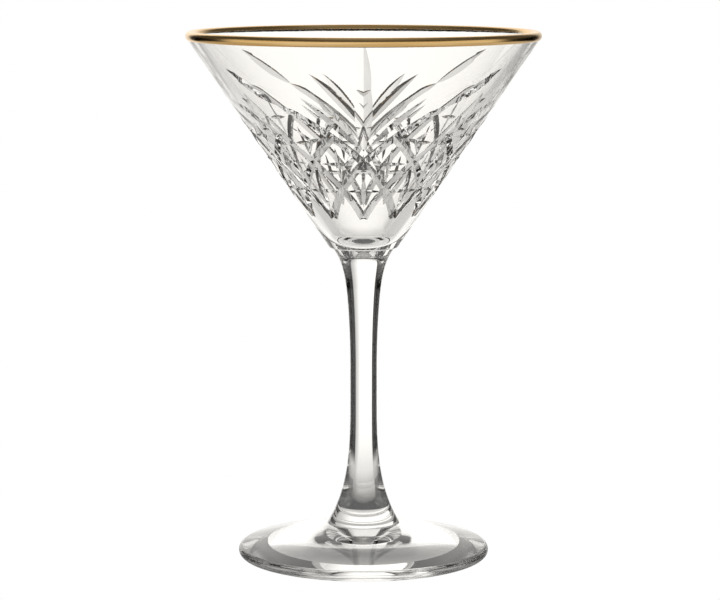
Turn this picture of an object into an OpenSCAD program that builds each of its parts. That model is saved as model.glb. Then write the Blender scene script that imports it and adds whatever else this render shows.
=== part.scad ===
// Cut-pattern martini glass: a conical bowl on a waisted stem and a round foot,
// with a gold band over the lip. Origin at the centre of the foot's underside, +Z up.
// Front of the pattern faces -Y. All sizes in millimetres.

/* [Overall] */
// total height from the table to the top of the lip
total_height = 172.5; // [165:0.5:180]
// widest diameter, over the gold band
rim_diameter = 115; // [108:0.5:122]
// diameter of the foot
foot_diameter = 82.4; // [76:0.2:90]

/* [Bowl] */
// height of the bowl's underside, where the stem joins
bowl_base_height = 102; // [98:0.5:106]
// radius of the cone just above the underside
bowl_base_radius = 11.6; // [10.8:0.1:13]
// height of the inside floor above the underside
floor_thickness = 3; // [2.6:0.1:4]
// wall thickness near the floor, square to the wall
wall_base = 6.1; // [5.4:0.1:6.6]
// radius of the round lip
lip_radius = 1.6; // [1.4:0.05:1.8]
// radius of the inside corner between floor and wall, where there is room for it
floor_fillet = 10; // [7:0.5:11]

/* [Gold band] */
// thickness of the gold layer
band_thickness = 0.3; // [0.2:0.05:0.4]
// how far the band runs down inside the lip
band_inner_leg = 0.8; // [0.4:0.1:1.6]

/* [Stem] */
// radius of the stem at its waist
waist_radius = 4.4; // [4:0.1:5.2]
// height of the waist's lower end
waist_low_height = 55; // [50:1:58]
// height of the waist's upper end
waist_high_height = 62.5; // [60:0.5:68]
// radius of the stem where it meets the bowl
collar_radius = 10.1; // [9.4:0.1:10.4]
// radius of the stem where it meets the foot
ankle_radius = 11.9; // [10.8:0.1:12.8]

/* [Foot] */
// height of the joint between stem and foot
ankle_height = 10.6; // [9.6:0.2:11.6]
// thickness of the foot's round edge
foot_edge = 3.6; // [3:0.1:4.4]
// radius of the domed hollow under the foot; the glass rests on the flat ring outside it
hollow_radius = 30.5; // [27:0.5:32]
// radius of the hollow's level middle
hollow_flat_radius = 10; // [6:0.5:14]
// height of the hollow's middle above the table
hollow_depth = 3.9; // [2:0.1:3.9]

/* [Cut pattern] */
// height of the pattern's lowest points
cut_foot_height = 113.5; // [112:0.5:115]
// height of the first row of diamonds
row_pitch = 10.3; // [9.6:0.1:10.6]
// how much each next row shrinks
row_shrink = 0.42; // [0.3:0.02:0.5]
// depth of the lattice grooves
groove_depth = 1.25; // [0.9:0.05:1.4]
// included angle of the cutting wheel, in degrees
groove_angle = 90; // [84:1:100]
// depth of the star cuts in the diamonds
star_depth = 0.75; // [0.5:0.05:0.9]
// depth of the fan leaves
leaf_depth = 1.25; // [0.9:0.05:1.4]
// included angle of the blunt wheel that cuts the leaves, in degrees
leaf_angle = 110; // [104:1:120]

/* [Hidden] */

glass_tint = [0.87, 0.91, 0.93, 0.35];
gold_tint = [0.80, 0.60, 0.30];

// Turned parts.
turn_facets = 120;
arc_steps = 12;
curve_steps = 22;

lip_centre = [rim_diameter / 2 - lip_radius, total_height - lip_radius];
band_start = -60;
cone_rise = 0.95;
wall_bottom = [bowl_base_radius, bowl_base_height + cone_rise];
wall_top = lip_centre + lip_radius * [cos(band_start), sin(band_start)];
wall_slope = (wall_top.x - wall_bottom.x) / (wall_top.y - wall_bottom.y);
wall_angle = atan(wall_slope);
underside_corner = 1.2;
underside_steps = 6;
foot_top_angle = 75;
hollow_steps = 10;
hollow_power = 1.5;

// The inside wall runs from the lip down to the floor fillet.
inner_start = 180 - wall_angle;
inner_top = lip_centre + lip_radius * [cos(inner_start), sin(inner_start)];
floor_height = bowl_base_height + floor_thickness;
inner_low = [bowl_radius(floor_height) - wall_base / cos(wall_angle), floor_height];
inner_dir = (inner_top - inner_low) / norm(inner_top - inner_low);
inner_angle = atan2(inner_dir.y, inner_dir.x);
floor_flat = 0.1;
fillet_radius = min(floor_fillet, (inner_low.x - floor_flat) / tan(inner_angle / 2));
fillet_reach = fillet_radius * tan(inner_angle / 2);
fillet_centre = [inner_low.x - fillet_reach, floor_height + fillet_radius];
leg_end = inner_top - band_inner_leg * inner_dir;
leg_step = band_thickness * [sin(inner_angle), -cos(inner_angle)];

// Pattern: a twelve-fold lattice, with a fan at the front and at the back.
lattice_count = 12;
lattice_step = 360 / lattice_count;
half_step = lattice_step / 2;
fan_count = 2;
cutter_rise = 1.6;
groove_overlap = 0.5;
star_drop = 0.6;
star_reach = 5.2;

// Fan leaves: [angle from the middle of the fan, height above the second row] of each end.
fan_height = row_height(2);
long_leaf_foot = [36.5, 18];
long_leaf_tip = [57.5, 29.4];
low_leaf_foot = [1.5, 4.2];
low_leaf_tip = [25.5, 21];
low_leaf_peak = 0.45;
mid_leaf_foot = [2.5, 8];
mid_leaf_tip = [19, 21.2];
mid_leaf_peak = 0.6;
mid_leaf_depth = 1;
centre_leaf_foot = [0, 3.6];
centre_leaf_tip = [0, 31.2];
centre_leaf_depth = 1.2;
centre_leaf_angle = 136;

// Beside the fan: the tapering ends of the outgoing grooves, and a star with three arms.
tail_reach = [7, 2.5];
tail_depth = 0.7;
side_star_centre = [27, 7];
side_star_arms = [[17, 7.8], [30.5, 2.2], [35, 11.2]];
arm_peak = 0.2;

function bowl_radius(z) = wall_bottom.x + (z - wall_bottom.y) * wall_slope;
function on_bowl(t, z) = [bowl_radius(z) * sin(t), -bowl_radius(z) * cos(t), z];
function bowl_out(t) = [
    cos(wall_angle) * sin(t),
    -cos(wall_angle) * cos(t),
    -sin(wall_angle)
];
function row_height(k) = cut_foot_height + row_pitch * k - row_shrink * k * k;
function unit(v) = v / norm(v);
// Lattice steps from the column k to the nearer fan.
function fan_distance(k) =
    let (span = lattice_count / fan_count)
        min(k % span, span - k % span);
function arc(centre, radius, from, to, steps = arc_steps) = [
    for (i = [0 : steps])
        let (a = from + (to - from) * i / steps)
            centre + radius * [cos(a), sin(a)]
];
function frame_matrix(side, out, along, at) = [
    [side.x, out.x, along.x, at.x],
    [side.y, out.y, along.y, at.y],
    [side.z, out.z, along.z, at.z],
    [0, 0, 0, 1]
];

// Stem radius: a slow taper and a short collar above the waist, one flare below it.
collar_taper = 2.6;
collar_taper_power = 2;
collar_flare_power = 8;
ankle_power = 3.5;
function stem_radius(z) =
    z > waist_high_height
        ? let (s = (z - waist_high_height) / (bowl_base_height - waist_high_height))
            waist_radius
            + collar_taper * pow(s, collar_taper_power)
            + (collar_radius - waist_radius - collar_taper) * pow(s, collar_flare_power)
        : z < waist_low_height
            ? let (s = (waist_low_height - z) / (waist_low_height - ankle_height))
                waist_radius + (ankle_radius - waist_radius) * pow(s, ankle_power)
            : waist_radius;

// A straight V groove just under the surface between two points of the bowl.
module groove(t1, z1, t2, z2, depth = groove_depth, over = groove_overlap) {
    p1 = on_bowl(t1, z1);
    p2 = on_bowl(t2, z2);
    along = unit(p2 - p1);
    side = unit(cross(bowl_out((t1 + t2) / 2), along));
    out = cross(along, side);
    half_top = (depth + cutter_rise) * tan(groove_angle / 2);
    multmatrix(frame_matrix(side, out, along, p1 - over * along))
        linear_extrude(height = norm(p2 - p1) + 2 * over)
            polygon([[0, -depth], [half_top, cutter_rise], [-half_top, cutter_rise]]);
}

// A cut that tapers to nothing at both ends and is deepest at the share "peak" of its length.
module leaf_cut(t1, z1, t2, z2, depth, angle, peak = 0.5) {
    p1 = on_bowl(t1, z1);
    p2 = on_bowl(t2, z2);
    span = norm(p2 - p1);
    along = (p2 - p1) / span;
    t_mid = t1 + (t2 - t1) * peak;
    z_mid = z1 + (z2 - z1) * peak;
    side = unit(cross(bowl_out(t_mid), along));
    out = cross(along, side);
    bulge = (on_bowl(t_mid, z_mid) - p1) * out;
    rise = bulge + cutter_rise;
    half_top = (depth + cutter_rise) * tan(angle / 2);
    belly = peak * span;
    multmatrix(frame_matrix(side, out, along, p1))
        polyhedron(
            points = [
                [0, 0, 0],
                [0, 0, span],
                [0, bulge - depth, belly],
                [half_top, rise, belly],
                [-half_top, rise, belly]
            ],
            faces = [
                [0, 2, 3],
                [0, 3, 4],
                [0, 4, 2],
                [1, 3, 2],
                [1, 4, 3],
                [1, 2, 4]
            ]
        );
}

// Three rows of crossing grooves all round.
module lattice() {
    for (k = [0 : lattice_count - 1])
        for (hand = [-1, 1])
            for (row = [0 : 2])
                groove(
                    k * lattice_step + hand * row * half_step,
                    row_height(row),
                    k * lattice_step + hand * (row + 1) * half_step,
                    row_height(row + 1)
                );
}

// Star of an upright and a level cut in the middle of a diamond.
module star(t, row) {
    z = row_height(row) - star_drop;
    reach = asin(star_reach / bowl_radius(z));
    leaf_cut(t, z - star_reach, t, z + star_reach, star_depth, groove_angle);
    leaf_cut(t - reach, z, t + reach, z, star_depth, groove_angle);
}

module fan_leaf(front, hand, foot, tip, depth, angle, peak = 0.5) {
    leaf_cut(
        front + hand * foot.x, fan_height + foot.y,
        front + hand * tip.x, fan_height + tip.y,
        depth, angle, peak
    );
}

// Everything above the lattice, outward from one fan to the side of the bowl.
module fan_side(front, hand) {
    for (k = [0 : 2])
        groove(
            front + hand * (half_step + k * lattice_step),
            row_height(3),
            front + hand * (k + 1) * lattice_step,
            row_height(4)
        );
    for (k = [1 : 2])
        leaf_cut(
            front + hand * (k * lattice_step - tail_reach.x),
            row_height(4) - tail_reach.y,
            front + hand * (k * lattice_step + tail_reach.x),
            row_height(4) + tail_reach.y,
            tail_depth, groove_angle
        );
    for (arm = side_star_arms)
        leaf_cut(
            front + hand * side_star_centre.x,
            fan_height + side_star_centre.y,
            front + hand * arm.x,
            fan_height + arm.y,
            star_depth, groove_angle, arm_peak
        );
    fan_leaf(front, hand, long_leaf_foot, long_leaf_tip, leaf_depth, leaf_angle);
    fan_leaf(front, hand, low_leaf_foot, low_leaf_tip, leaf_depth, leaf_angle, low_leaf_peak);
    fan_leaf(front, hand, mid_leaf_foot, mid_leaf_tip, mid_leaf_depth, leaf_angle, mid_leaf_peak);
}

module cut_pattern() {
    lattice();
    for (k = [0 : lattice_count - 1]) {
        star(k * lattice_step, 1);
        star((k + 1 / 2) * lattice_step, 2);
        if (fan_distance(k) > 1)
            star(k * lattice_step, 3);
    }
    for (f = [0 : fan_count - 1]) {
        front = f * 360 / fan_count;
        fan_leaf(
            front, 1, centre_leaf_foot, centre_leaf_tip,
            centre_leaf_depth, centre_leaf_angle
        );
        for (hand = [-1, 1])
            fan_side(front, hand);
    }
}

module bowl_blank() {
    rotate_extrude($fn = turn_facets)
        polygon(concat(
            [[0, bowl_base_height]],
            arc(
                [wall_bottom.x - underside_corner, bowl_base_height + underside_corner],
                underside_corner, -90, -wall_angle, underside_steps
            ),
            arc(lip_centre, lip_radius, band_start, band_start, 1),
            arc(lip_centre, lip_radius - band_thickness, band_start, inner_start),
            [leg_end + leg_step],
            [leg_end],
            arc(fillet_centre, fillet_radius, inner_angle - 90, -90),
            [[0, floor_height]]
        ));
}

module bowl() {
    color(glass_tint)
        difference() {
            bowl_blank();
            cut_pattern();
        }
}

module stem() {
    color(glass_tint)
        rotate_extrude($fn = turn_facets)
            polygon(concat(
                [[0, ankle_height]],
                [for (i = [0 : curve_steps])
                    let (z = ankle_height + (waist_low_height - ankle_height) * i / curve_steps)
                        [stem_radius(z), z]],
                [for (i = [0 : curve_steps])
                    let (z = waist_high_height
                        + (bowl_base_height - waist_high_height) * i / curve_steps)
                        [stem_radius(z), z]],
                [[0, bowl_base_height]]
            ));
}

module foot() {
    color(glass_tint)
        rotate_extrude($fn = turn_facets)
            polygon(concat(
                [[0, hollow_depth]],
                [for (i = [0 : hollow_steps])
                    let (s = i / hollow_steps)
                        [
                            hollow_flat_radius + (hollow_radius - hollow_flat_radius) * s,
                            hollow_depth * (1 - pow(s, hollow_power))
                        ]],
                arc(
                    [foot_diameter / 2 - foot_edge / 2, foot_edge / 2],
                    foot_edge / 2, -90, foot_top_angle
                ),
                [[ankle_radius, ankle_height]],
                [[0, ankle_height]]
            ));
}

module gold_rim_band() {
    color(gold_tint)
        rotate_extrude($fn = turn_facets)
            polygon(concat(
                arc(lip_centre, lip_radius, band_start, inner_start),
                [leg_end],
                [leg_end + leg_step],
                arc(lip_centre, lip_radius - band_thickness, inner_start, band_start)
            ));
}

bowl();
stem();
foot();
gold_rim_band();
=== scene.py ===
import math

import bmesh
import bpy
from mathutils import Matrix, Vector


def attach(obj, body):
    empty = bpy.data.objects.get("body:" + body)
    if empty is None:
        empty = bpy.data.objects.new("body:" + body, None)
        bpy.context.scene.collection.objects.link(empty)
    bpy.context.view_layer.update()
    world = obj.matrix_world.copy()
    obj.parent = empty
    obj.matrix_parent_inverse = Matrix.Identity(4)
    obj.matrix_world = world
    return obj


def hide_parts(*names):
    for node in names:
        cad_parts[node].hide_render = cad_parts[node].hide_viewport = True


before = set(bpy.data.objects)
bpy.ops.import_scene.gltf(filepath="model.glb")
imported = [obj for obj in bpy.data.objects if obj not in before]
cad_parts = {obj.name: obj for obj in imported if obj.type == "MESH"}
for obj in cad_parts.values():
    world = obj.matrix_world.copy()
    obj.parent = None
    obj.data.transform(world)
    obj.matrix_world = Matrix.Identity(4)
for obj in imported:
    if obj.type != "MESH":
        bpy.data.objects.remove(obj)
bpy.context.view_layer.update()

MM = 0.001

# ---------------------------------------------------------------- sizes, millimetres, as in part.scad
HEIGHT, RIM_R, FOOT_R = 172.5, 57.5, 41.2
# bowl: underside, inside floor, wall square to its slope, inside corner
BASE_Z, BASE_R, BASE_CORNER = 102.0, 11.6, 1.2
CONE_RISE = 0.95
FLOOR_Z = 105.0
WALL = 6.1
FILLET = 10.0
# lip and gold band
LIP_R, BAND_T, BAND_LEG = 1.6, 0.3, 0.8
BAND_A = math.radians(-60)
# stem: waist, collar under the bowl, ankle on the foot
WAIST_R, WAIST_LO, WAIST_HI = 4.4, 55.0, 62.5
COLLAR_R, COLLAR_TAPER, TAPER_POWER, COLLAR_POWER = 10.1, 2.6, 2, 8
ANKLE_R, ANKLE_Z, ANKLE_POWER = 11.9, 10.6, 3.5
# foot: round edge, and the domed hollow underneath
FOOT_EDGE, FOOT_TOP_A = 3.6, math.radians(75)
HOLLOW_R, HOLLOW_FLAT_R, HOLLOW_D, HOLLOW_POWER = 30.5, 10.0, 3.9, 1.5
# cut pattern: lowest points, first row, shrink of each next row
CUT_Z, ROW, SHRINK = 113.5, 10.3, 0.42
LATTICE = 12
STEP = 360 // LATTICE
FANS = (0, 180)

LIP = Vector((RIM_R - LIP_R, HEIGHT - LIP_R))


def polar(centre, r, a):
    return Vector((centre[0] + r * math.cos(a), centre[1] + r * math.sin(a)))


def arc(centre, r, a0, a1, n):
    return [polar(centre, r, a0 + (a1 - a0) * i / n) for i in range(n + 1)]


WALL_LO = Vector((BASE_R, BASE_Z + CONE_RISE))
WALL_HI = polar(LIP, LIP_R, BAND_A)
SLOPE = (WALL_HI.x - WALL_LO.x) / (WALL_HI.y - WALL_LO.y)
TILT = math.atan(SLOPE)
INNER_A = math.pi - TILT
INNER_HI = polar(LIP, LIP_R, INNER_A)


def wall_r(z):
    return WALL_LO.x + (z - WALL_LO.y) * SLOPE


INNER_LO = Vector((wall_r(FLOOR_Z) - WALL / math.cos(TILT), FLOOR_Z))
INNER_D = (INNER_HI - INNER_LO).normalized()
INNER_T = math.atan2(INNER_D.y, INNER_D.x)
FILLET_C = (INNER_LO.x - FILLET * math.tan(INNER_T / 2), FLOOR_Z + FILLET)
LEG = INNER_HI - BAND_LEG * INNER_D
LEG_STEP = Vector((math.sin(INNER_T), -math.cos(INNER_T)))


def row_z(k):
    return CUT_Z + ROW * k - SHRINK * k * k


# ---------------------------------------------------------------- materials
GLASS_TINT = (0.992, 0.988, 0.978, 1)
GLASS_IOR = 1.52


def new_material(name):
    material = bpy.data.materials.new(name)
    material.use_nodes = True
    material.node_tree.nodes.clear()
    return material, material.node_tree.nodes, material.node_tree.links


def add_bump(nodes, links, height, shader, strength, distance):
    bump = nodes.new("ShaderNodeBump")
    bump.inputs["Strength"].default_value = strength
    bump.inputs["Distance"].default_value = distance
    links.new(height, bump.inputs["Height"])
    links.new(bump.outputs["Normal"], shader.inputs["Normal"])


def glass(name):
    """Clear glass with the faint waviness of a pressed surface."""
    material, nodes, links = new_material(name)
    out = nodes.new("ShaderNodeOutputMaterial")
    shader = nodes.new("ShaderNodeBsdfPrincipled")
    shader.inputs["Base Color"].default_value = GLASS_TINT
    shader.inputs["Roughness"].default_value = 0.0
    shader.inputs["IOR"].default_value = GLASS_IOR
    shader.inputs["Transmission Weight"].default_value = 1.0
    coords = nodes.new("ShaderNodeTexCoord")
    noise = nodes.new("ShaderNodeTexNoise")
    noise.inputs["Scale"].default_value = 55
    noise.inputs["Detail"].default_value = 1.5
    links.new(coords.outputs["Object"], noise.inputs["Vector"])
    add_bump(nodes, links, noise.outputs["Fac"], shader, 0.03, 0.0002)
    links.new(shader.outputs["BSDF"], out.inputs["Surface"])
    return material


def fused(name):
    """The faces where two pieces of glass are melted together, which light doesn't notice."""
    material, nodes, links = new_material(name)
    out = nodes.new("ShaderNodeOutputMaterial")
    clear = nodes.new("ShaderNodeBsdfTransparent")
    links.new(clear.outputs["BSDF"], out.inputs["Surface"])
    return material


def gold(name, dark, light):
    """Gold lustre with fine streaks round the rim."""
    material, nodes, links = new_material(name)
    out = nodes.new("ShaderNodeOutputMaterial")
    shader = nodes.new("ShaderNodeBsdfPrincipled")
    shader.inputs["Metallic"].default_value = 1.0
    shader.inputs["Roughness"].default_value = 0.22
    coords = nodes.new("ShaderNodeTexCoord")
    stretch = nodes.new("ShaderNodeMapping")
    stretch.inputs["Scale"].default_value = (1, 1, 30)
    links.new(coords.outputs["Object"], stretch.inputs["Vector"])
    noise = nodes.new("ShaderNodeTexNoise")
    noise.inputs["Scale"].default_value = 40
    noise.inputs["Detail"].default_value = 4
    links.new(stretch.outputs["Vector"], noise.inputs["Vector"])
    ramp = nodes.new("ShaderNodeValToRGB")
    ramp.color_ramp.elements[0].position = 0.3
    ramp.color_ramp.elements[0].color = (*dark, 1)
    ramp.color_ramp.elements[1].position = 0.7
    ramp.color_ramp.elements[1].color = (*light, 1)
    links.new(noise.outputs["Fac"], ramp.inputs["Fac"])
    links.new(ramp.outputs["Color"], shader.inputs["Base Color"])
    add_bump(nodes, links, noise.outputs["Fac"], shader, 0.15, 0.0001)
    links.new(shader.outputs["BSDF"], out.inputs["Surface"])
    return material


GLASS = glass("clear_glass")
GLASS_CUT = glass("clear_glass_cut")
FUSED = fused("fused_glass")
GOLD = gold("gold_lustre", (0.72, 0.44, 0.15), (0.95, 0.66, 0.32))
# The lustre seen from behind, through the glass, is painted nearly black: a painted-shade copy of the gold.
GOLD_BACK_PAINTED_SHADE = gold("gold_lustre_back_painted_shade", (0.07, 0.045, 0.025), (0.12, 0.08, 0.04))


# ---------------------------------------------------------------- mesh helpers
ON_AXIS = 1e-9


def lathe(name, profile, segs, mats, slots=None):
    """Closed solid of revolution. profile runs from axis to axis, or is a closed ring off the axis.
    slots gives the material slot of each span."""
    bm = bmesh.new()
    rings = []
    for p in profile:
        r, z = p[0] * MM, p[1] * MM
        if r < ON_AXIS:
            rings.append([bm.verts.new((0, 0, z))])
            continue
        turns = [2 * math.pi * i / segs for i in range(segs)]
        rings.append([bm.verts.new((r * math.sin(turn), -r * math.cos(turn), z)) for turn in turns])
    closed = len(rings[0]) > 1
    spans = len(rings) if closed else len(rings) - 1
    for k in range(spans):
        a, b = rings[k], rings[(k + 1) % len(rings)]
        for i in range(segs):
            j = (i + 1) % segs
            quad = [a[i % len(a)], a[j % len(a)], b[j % len(b)], b[i % len(b)]]
            face = bm.faces.new([v for n, v in enumerate(quad) if v not in quad[:n]])
            face.smooth = True
            face.material_index = slots[k] if slots else 0
    bmesh.ops.recalc_face_normals(bm, faces=bm.faces)
    mesh = bpy.data.meshes.new(name)
    for m in mats:
        mesh.materials.append(m)
    bm.to_mesh(mesh)
    bm.free()
    obj = bpy.data.objects.new(name, mesh)
    bpy.context.scene.collection.objects.link(obj)
    return obj


def cone_normal(a):
    """Outward normal of the bowl's cone at angle a, in radians, 0 at the front."""
    return Vector((math.cos(TILT) * math.sin(a), -math.cos(TILT) * math.cos(a), -math.sin(TILT)))


def surface(t, z):
    """Point and outward normal on the bowl's cone at angle t (degrees, 0 at the front) and height z (mm)."""
    a = math.radians(t)
    r = wall_r(z)
    p = Vector((r * math.sin(a), -r * math.cos(a), z))
    return p, cone_normal(a)


def sweep(path, depths, inner_angle, outer_angle=None):
    """Closed V-shaped cutter along points (t, z) of the bowl, with depths in mm.
    The angles of its two flanks are from the V's middle plane, in degrees. The inner flank is the one
    nearer the plane x = 0, where both fans stand."""
    if outer_angle is None:
        outer_angle = inner_angle
    slopes = [math.tan(math.radians(a)) for a in (inner_angle, outer_angle)]
    top = CUTTER_TOP
    bm = bmesh.new()
    pts = [surface(t, z) for t, z in path]
    rings = []
    for i, ((p, n), d) in enumerate(zip(pts, depths)):
        before = pts[max(i - 1, 0)][0]
        after = pts[min(i + 1, len(pts) - 1)][0]
        along = (after - before).normalized()
        side = n.cross(along).normalized()
        out = along.cross(side)
        first, second = (0, 1) if side.x * p.x < 0 else (1, 0)
        corners = (
            out * -d,
            side * (d + top) * slopes[first] + out * top,
            side * -(d + top) * slopes[second] + out * top,
        )
        rings.append([bm.verts.new((p + corner) * MM) for corner in corners])
    for a, b in zip(rings, rings[1:]):
        for i in range(3):
            j = (i + 1) % 3
            f = bm.faces.new((a[i], a[j], b[j], b[i]))
            f.material_index = 1
            f.smooth = True
    bm.faces.new(rings[0][::-1]).material_index = 1
    bm.faces.new(rings[-1]).material_index = 1
    bmesh.ops.recalc_face_normals(bm, faces=bm.faces)
    return bm


def line(t0, z0, t1, z1, n, over=0.0):
    """n + 1 points (t, z) on a straight line, which runs past both ends by the share over."""
    lo, hi = -over, 1 + over
    shares = [lo + (hi - lo) * i / n for i in range(n + 1)]
    return [(t0 + (t1 - t0) * share, z0 + (z1 - z0) * share) for share in shares]


# Depth of each kind of cut, mm, and the angles of its flanks from the V's middle plane, degrees.
CUTTER_TOP = 1.3
GROOVE_D, GROOVE_A = 1.3, 45
STAR_D, STAR_A = 0.8, 42
LEAF_D, LEAF_A = 1.25, (47, 62)
LOW_LEAF_A = LEAF_A[::-1]
MID_LEAF_D = LEAF_D * 0.8
CENTRE_D, CENTRE_A = 1.2, 68
STAR_REACH, STAR_DROP = 5.4, 0.6
# A cut that starts in another one runs past its own ends by this share, so that they meet.
OVERLAP = 0.02
# Spans along each kind of cut.
GROOVE_SPANS, OUTER_SPANS, ARM_SPANS, STAR_SPANS, LEAF_SPANS, CENTRE_SPANS = 4, 5, 8, 10, 16, 20

# Places beside a fan: degrees from its middle, a row of the lattice, mm above that row.
LONG_LEAF = ((36.5, 4, 2.4), (57.5, 4, 13.8))
LOW_LEAF, LOW_LEAF_PEAK = ((1.5, 2, 4.2), (25.5, 2, 21)), 0.45
MID_LEAF, MID_LEAF_PEAK = ((2.5, 2, 8), (19, 2, 21.2)), 0.6
CENTRE_LEAF = ((0, 2, 3.6), (0, 2, 31.2))
SIDE_STAR = (27, 3, -1.2)
SIDE_STAR_ARMS = ((17, 3, -0.4), (30.5, 2, 2.2), (35, 3, 3))
TAIL_RUN, TAIL_RISE = 7, 2.5


def lens(n, depth, peak=0.5, ends=-0.02):
    """Depths of a wheel cut: nothing at both ends, deepest at the share peak of its length."""
    out = []
    for i in range(n + 1):
        s = i / n
        x = (s - peak) / (peak if s < peak else 1 - peak)
        out.append(ends + (depth - ends) * (1 - x * x))
    return out


def fading(n, depth):
    """Depths that fall from full at the start to nothing at the end."""
    return [depth * (1 - (i / n) ** 2) for i in range(n + 1)]


def lattice_cuts():
    """Three rows of crossing grooves all round."""
    cuts = []
    for k in range(LATTICE):
        for hand in (-1, 1):
            path = []
            for row in range(3):
                t0 = STEP * k + hand * STEP / 2 * row
                t1 = STEP * k + hand * STEP / 2 * (row + 1)
                seg = line(t0, row_z(row), t1, row_z(row + 1), GROOVE_SPANS)
                path += seg if row == 0 else seg[1:]
            cuts.append(sweep(path, [GROOVE_D] * len(path), GROOVE_A))
    return cuts


def star_cuts():
    """A star in every diamond, apart from the third row's at and next to a fan."""
    cuts = []
    for k in range(LATTICE):
        for row, t in ((1, STEP * k), (2, STEP * k + STEP / 2), (3, STEP * k)):
            if row == 3 and k % 6 in (0, 1, 5):
                continue
            z = row_z(row) - STAR_DROP
            w = math.degrees(STAR_REACH / wall_r(z))
            upright = line(t, z - STAR_REACH, t, z + STAR_REACH, STAR_SPANS)
            level = line(t - w, z, t + w, z, STAR_SPANS)
            cuts.append(sweep(upright, lens(STAR_SPANS, STAR_D), STAR_A))
            cuts.append(sweep(level, lens(STAR_SPANS, STAR_D), STAR_A))
    return cuts


def fan_cut(front, hand, start, end, depths, *angles, over=0.0):
    """A cut between two places beside the fan at front, on the side hand."""
    (t0, row0, up0), (t1, row1, up1) = start, end
    t0, t1 = front + hand * t0, front + hand * t1
    path = line(t0, row_z(row0) + up0, t1, row_z(row1) + up1, len(depths) - 1, over)
    return sweep(path, depths, *angles)


def fan_side_cuts(front, hand):
    """What stands on one side of a fan."""
    cuts = []
    # grooves that run out of the lattice, away from the fan, and their tapering ends
    for k in range(3):
        start, end = (STEP * (k + 0.5), 3, 0), (STEP * (k + 1), 4, 0)
        depths = [GROOVE_D] * (OUTER_SPANS + 1)
        cuts.append(fan_cut(front, hand, start, end, depths, GROOVE_A, over=OVERLAP))
    for t in (STEP, 2 * STEP):
        start, end = (t, 4, 0), (t + TAIL_RUN, 4, TAIL_RISE)
        cuts.append(fan_cut(front, hand, start, end, fading(OUTER_SPANS, GROOVE_D), GROOVE_A))
    for end in SIDE_STAR_ARMS:
        depths = fading(ARM_SPANS, STAR_D)
        cuts.append(fan_cut(front, hand, SIDE_STAR, end, depths, STAR_A, over=OVERLAP))
    cuts.append(fan_cut(front, hand, *LONG_LEAF, lens(LEAF_SPANS, LEAF_D), *LEAF_A))
    cuts.append(fan_cut(front, hand, *LOW_LEAF, lens(LEAF_SPANS, LEAF_D, LOW_LEAF_PEAK), *LOW_LEAF_A))
    cuts.append(fan_cut(front, hand, *MID_LEAF, lens(LEAF_SPANS, MID_LEAF_D, MID_LEAF_PEAK), *LEAF_A))
    return cuts


def cutters():
    cuts = lattice_cuts() + star_cuts()
    for front in FANS:
        for hand in (-1, 1):
            cuts += fan_side_cuts(front, hand)
        cuts.append(fan_cut(front, 1, *CENTRE_LEAF, lens(CENTRE_SPANS, CENTRE_D), CENTRE_A))
    return cuts


def carve(obj, cuts):
    """Takes every cutter out of obj."""
    for bm in cuts:
        mesh = bpy.data.meshes.new("cutter")
        for m in obj.data.materials:
            mesh.materials.append(m)
        bm.to_mesh(mesh)
        bm.free()
        tool = bpy.data.objects.new("cutter", mesh)
        bpy.context.scene.collection.objects.link(tool)
        mod = obj.modifiers.new("cut", "BOOLEAN")
        mod.operation = "DIFFERENCE"
        mod.solver = "MANIFOLD"
        mod.object = tool
        dg = bpy.context.evaluated_depsgraph_get()
        made = bpy.data.meshes.new_from_object(
            obj.evaluated_get(dg), preserve_all_data_layers=True, depsgraph=dg
        )
        obj.modifiers.clear()
        old = obj.data
        obj.data = made
        bpy.data.meshes.remove(old)
        bpy.data.objects.remove(tool)
        bpy.data.meshes.remove(mesh)


CUT_SHARP = math.radians(14)
ON_CONE = 0.2


def true_normals(obj):
    """Cone faces get the cone's own normals; cuts stay crisp at their edges."""
    mesh = obj.data
    mesh.set_sharp_from_angle(angle=CUT_SHARP)
    normals = [Vector((0, 0, 0))] * len(mesh.loops)
    for poly in mesh.polygons:
        if poly.material_index:
            continue
        c = poly.center / MM
        if abs(math.hypot(c.x, c.y) - wall_r(c.z)) > ON_CONE or not WALL_LO.y < c.z < WALL_HI.y:
            continue
        for li in poly.loop_indices:
            v = mesh.vertices[mesh.loops[li].vertex_index].co
            normals[li] = cone_normal(math.atan2(v.x, -v.y))
    mesh.normals_split_custom_set(normals)


def finish_piece(obj, node):
    """The piece rides on the part's one body and stands for the CAD node."""
    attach(obj, "root")
    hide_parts(node)


# ---------------------------------------------------------------- bowl
RIM_SEGS, STEM_SEGS, FOOT_SEGS = 480, 240, 360
ON_BASE = 1e-3
profile = [Vector((0, BASE_Z)), Vector((COLLAR_R, BASE_Z))]
corner_centre = (WALL_LO.x - BASE_CORNER, BASE_Z + BASE_CORNER)
profile += arc(corner_centre, BASE_CORNER, -math.pi / 2, -TILT, 8)
profile += [WALL_HI]
profile += arc(LIP, LIP_R - BAND_T, BAND_A, INNER_A, 18)
profile += [LEG + BAND_T * LEG_STEP, LEG]
profile += arc(FILLET_C, FILLET, INNER_T - math.pi / 2, -math.pi / 2, 20)
profile += [Vector((0, FLOOR_Z))]
bowl = lathe("bowl_body", profile, RIM_SEGS, [GLASS, GLASS_CUT, FUSED])
carve(bowl, cutters())
for poly in bowl.data.polygons:
    c = poly.center / MM
    if abs(c.z - BASE_Z) < ON_BASE and math.hypot(c.x, c.y) < COLLAR_R:
        poly.material_index = 2
true_normals(bowl)
finish_piece(bowl, "bowl")


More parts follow.
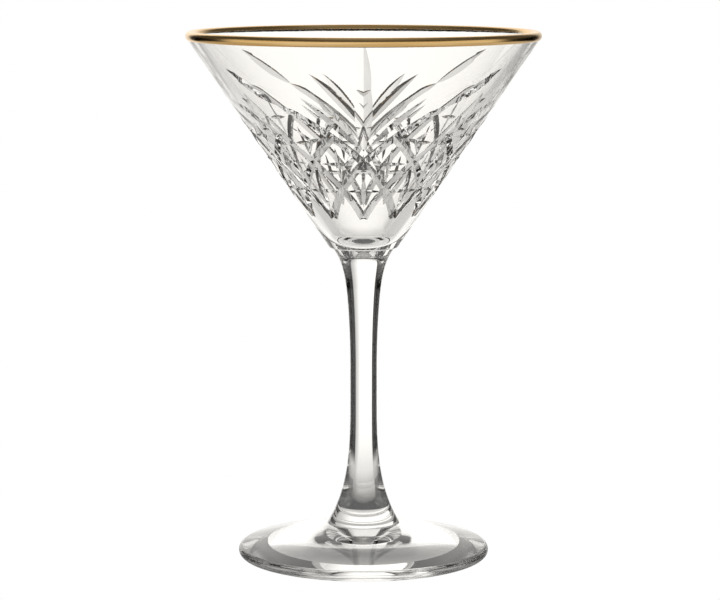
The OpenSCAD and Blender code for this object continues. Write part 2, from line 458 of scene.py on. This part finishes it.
# ---------------------------------------------------------------- stem
def stem_r(z):
    if z > WAIST_HI:
        s = (z - WAIST_HI) / (BASE_Z - WAIST_HI)
        flare = COLLAR_R - WAIST_R - COLLAR_TAPER
        return WAIST_R + COLLAR_TAPER * s ** TAPER_POWER + flare * s ** COLLAR_POWER
    if z < WAIST_LO:
        s = (WAIST_LO - z) / (WAIST_LO - ANKLE_Z)
        return WAIST_R + (ANKLE_R - WAIST_R) * s ** ANKLE_POWER
    return WAIST_R


STEM_SPANS = 140
zs = [ANKLE_Z + (BASE_Z - ANKLE_Z) * i / STEM_SPANS for i in range(STEM_SPANS + 1)]
profile = [Vector((0, ANKLE_Z))] + [Vector((stem_r(z), z)) for z in zs] + [Vector((0, BASE_Z))]
stem = lathe("stem_body", profile, STEM_SEGS, [GLASS, FUSED], [1] + [0] * STEM_SPANS + [1])
stem.data.set_sharp_from_angle(angle=math.radians(25))
finish_piece(stem, "stem")

# ---------------------------------------------------------------- foot
HOLLOW_SPANS = 24
profile = [Vector((0, HOLLOW_D))]
for i in range(HOLLOW_SPANS + 1):
    s = i / HOLLOW_SPANS
    r = HOLLOW_FLAT_R + (HOLLOW_R - HOLLOW_FLAT_R) * s
    profile.append(Vector((r, HOLLOW_D * (1 - s ** HOLLOW_POWER))))
edge_centre = (FOOT_R - FOOT_EDGE / 2, FOOT_EDGE / 2)
profile += arc(edge_centre, FOOT_EDGE / 2, -math.pi / 2, FOOT_TOP_A, 24)
open_spans = len(profile)
profile += [Vector((ANKLE_R, ANKLE_Z)), Vector((0, ANKLE_Z))]
foot = lathe("foot_body", profile, FOOT_SEGS, [GLASS, FUSED], [0] * open_spans + [1])
foot.data.set_sharp_from_angle(angle=math.radians(8))
finish_piece(foot, "foot")

# ---------------------------------------------------------------- gold band
# The band reaches this far into the glass, so that no gap shows between them.
EMBED = 0.015
profile = arc(LIP, LIP_R, BAND_A, INNER_A, 24) + [LEG]
outside = len(profile)
profile += [LEG + (BAND_T + EMBED) * LEG_STEP]
profile += arc(LIP, LIP_R - BAND_T - EMBED, INNER_A, BAND_A, 24)
# The band's faces buried in the glass take the nearly black gold, which is painted shade.
slots = [0] * outside + [1] * (len(profile) - outside)
band = lathe("gold_band", profile, RIM_SEGS, [GOLD, GOLD_BACK_PAINTED_SHADE], slots)
band.data.set_sharp_from_angle(angle=math.radians(40))
finish_piece(band, "gold_rim_band")

# ---------------------------------------------------------------- floor
# The floor is plain white, and only the camera sees it. The glass refracts the studio below instead.
FLOOR_RADIUS, FLOOR_DROP = 30, -0.0002
# A soft shade under the foot, longer to its sides. The camera sees it only through the glass. In metres.
SHADE_IN, SHADE_OUT, SHADE_WIDE = 0.01, 0.07, 1.8
SHADE_LEVEL, SHADE_DROP = 0.12, -0.0004


def disc(name, radius, z, material):
    bm = bmesh.new()
    bmesh.ops.create_circle(bm, cap_ends=True, segments=64, radius=radius)
    mesh = bpy.data.meshes.new(name)
    bm.to_mesh(mesh)
    bm.free()
    mesh.materials.append(material)
    obj = bpy.data.objects.new(name, mesh)
    bpy.context.scene.collection.objects.link(obj)
    obj.location.z = z
    obj.visible_diffuse = False
    return obj


def plain_white(name):
    """White from its own even glow, so that no shading falls on it."""
    material, nodes, links = new_material(name)
    out = nodes.new("ShaderNodeOutputMaterial")
    shader = nodes.new("ShaderNodeBsdfPrincipled")
    shader.inputs["Base Color"].default_value = (0, 0, 0, 1)
    shader.inputs["Roughness"].default_value = 1.0
    shader.inputs["Specular IOR Level"].default_value = 0.0
    shader.inputs["Emission Color"].default_value = (1, 1, 1, 1)
    shader.inputs["Emission Strength"].default_value = 1.0
    links.new(shader.outputs["BSDF"], out.inputs["Surface"])
    return material


def soft_shade(name):
    """An even grey inside the radius SHADE_IN that fades away by the radius SHADE_OUT."""
    material, nodes, links = new_material(name)
    coords = nodes.new("ShaderNodeTexCoord")
    squeeze = nodes.new("ShaderNodeMapping")
    squeeze.inputs["Scale"].default_value = (1 / SHADE_WIDE, 1, 1)
    links.new(coords.outputs["Object"], squeeze.inputs["Vector"])
    distance = nodes.new("ShaderNodeVectorMath")
    distance.operation = "LENGTH"
    links.new(squeeze.outputs["Vector"], distance.inputs[0])
    fade = nodes.new("ShaderNodeMapRange")
    fade.interpolation_type = "SMOOTHSTEP"
    fade.inputs["From Min"].default_value = SHADE_IN
    fade.inputs["From Max"].default_value = SHADE_OUT
    links.new(distance.outputs["Value"], fade.inputs["Value"])
    grey = nodes.new("ShaderNodeEmission")
    grey.inputs["Strength"].default_value = SHADE_LEVEL
    clear = nodes.new("ShaderNodeBsdfTransparent")
    mix = nodes.new("ShaderNodeMixShader")
    links.new(fade.outputs["Result"], mix.inputs[0])
    links.new(grey.outputs[0], mix.inputs[1])
    links.new(clear.outputs[0], mix.inputs[2])
    out = nodes.new("ShaderNodeOutputMaterial")
    links.new(mix.outputs[0], out.inputs["Surface"])
    material.cycles.emission_sampling = "NONE"
    return material


floor = disc("floor", FLOOR_RADIUS, FLOOR_DROP, plain_white("floor_white"))
floor.visible_transmission = False
floor.visible_glossy = False
shade = disc("foot_shade", SHADE_OUT * SHADE_WIDE, SHADE_DROP, soft_shade("foot_shade"))
shade.visible_camera = False

# ---------------------------------------------------------------- world: softboxes in a dim studio
# Each pair of angles is where a light's edge starts to fade and where it ends, in degrees.
# az is 0 behind the glass and grows towards +X, side is az without its sign, el is the height above level.
STUDIO_TINT = (1.0, 0.985, 0.955, 1)
SOFTBOX_LEVEL = 1.2
FAR_LEVEL = 0.6

world = bpy.data.worlds.new("studio")
bpy.context.scene.world = world
world.use_nodes = True
world_tree = world.node_tree
world_tree.nodes.clear()


def math_node(op, a, b=None):
    node = world_tree.nodes.new("ShaderNodeMath")
    node.operation = op
    for i, value in enumerate((a, b)):
        if value is None:
            continue
        if isinstance(value, (int, float)):
            node.inputs[i].default_value = value
        else:
            world_tree.links.new(value, node.inputs[i])
    return node.outputs[0]


def step(x, a, b, to=1.0):
    """0 at a degrees, to at b degrees, smooth between."""
    node = world_tree.nodes.new("ShaderNodeMapRange")
    node.interpolation_type = "SMOOTHSTEP"
    world_tree.links.new(x, node.inputs["Value"])
    node.inputs["From Min"].default_value = math.radians(min(a, b))
    node.inputs["From Max"].default_value = math.radians(max(a, b))
    node.inputs["To Min"].default_value = 0 if a < b else to
    node.inputs["To Max"].default_value = to if a < b else 0
    return node.outputs["Result"]


def both(*xs):
    """Product of the given values."""
    result = xs[0]
    for x in xs[1:]:
        result = math_node("MULTIPLY", result, x)
    return result


def either(*xs):
    """Greatest of the given values."""
    result = xs[0]
    for x in xs[1:]:
        result = math_node("MAXIMUM", result, x)
    return result


def background(tint):
    node = world_tree.nodes.new("ShaderNodeBackground")
    node.inputs["Color"].default_value = tint
    return node


coords = world_tree.nodes.new("ShaderNodeTexCoord")
direction = world_tree.nodes.new("ShaderNodeSeparateXYZ")
world_tree.links.new(coords.outputs["Generated"], direction.inputs[0])
el = math_node("ARCSINE", direction.outputs["Z"])
az = math_node("ARCTAN2", direction.outputs["X"], direction.outputs["Y"])
side = math_node("ABSOLUTE", az)
# Behind the glass: one tall softbox, dimmer towards its right edge, its top and its bottom.
softbox = both(step(az, -30, -27), step(az, 28, 24), step(el, 60, 54))
dim = either(step(az, 6, 24, 0.5), step(el, 26, 40, 0.3), step(el, -6, -28, 0.35))
softbox = both(math_node("SUBTRACT", 1.0, dim), softbox, SOFTBOX_LEVEL)
# On the camera's side: a low fill and a faint high one. Over the glass: a soft top light.
low_fill = both(step(side, 72, 90), step(el, -24, -20), step(el, 25, 19, 0.85))
high_fill = both(step(side, 72, 90), step(el, 43, 52, 0.15))
top_light = step(el, 62, 70, 0.25)
# The studio's far floor is pale, brighter on the camera's side. The rest of the room is dim.
far_floor = step(el, -17, -23, FAR_LEVEL)
far_floor = either(far_floor, both(step(el, -20, -26), step(side, 85, 110, 0.7)))
room = step(el, 5, 15, 0.08)
studio = background(STUDIO_TINT)
light = either(softbox, low_fill, high_fill, top_light, far_floor, room)
world_tree.links.new(light, studio.inputs["Strength"])
# The camera itself sees plain white behind the glass.
white = background((1, 1, 1, 1))
light_path = world_tree.nodes.new("ShaderNodeLightPath")
mix = world_tree.nodes.new("ShaderNodeMixShader")
world_tree.links.new(light_path.outputs["Is Camera Ray"], mix.inputs[0])
world_tree.links.new(studio.outputs[0], mix.inputs[1])
world_tree.links.new(white.outputs[0], mix.inputs[2])
world_out = world_tree.nodes.new("ShaderNodeOutputWorld")
world_tree.links.new(mix.outputs[0], world_out.inputs["Surface"])

# ---------------------------------------------------------------- camera
CAMERA_AT = (0, -0.8743, 0.2057)
CAMERA_DOWN, CAMERA_TURN = 7.88, 0.0765

cam = bpy.data.cameras.new("camera")
cam.lens, cam.sensor_width = 134.8, 36
cam.clip_start, cam.clip_end = 0.01, 200
cam_obj = bpy.data.objects.new("camera", cam)
cam_obj.location = CAMERA_AT
cam_obj.rotation_euler = (math.radians(90 - CAMERA_DOWN), 0, math.radians(CAMERA_TURN))
bpy.context.scene.collection.objects.link(cam_obj)
bpy.context.scene.camera = cam_obj

scene = bpy.context.scene
scene.view_settings.view_transform = "Standard"
# Light has to pass through many layers of glass.
scene.cycles.max_bounces = 32
scene.cycles.transmission_bounces = 32
scene.cycles.glossy_bounces = 16
scene.cycles.transparent_max_bounces = 32
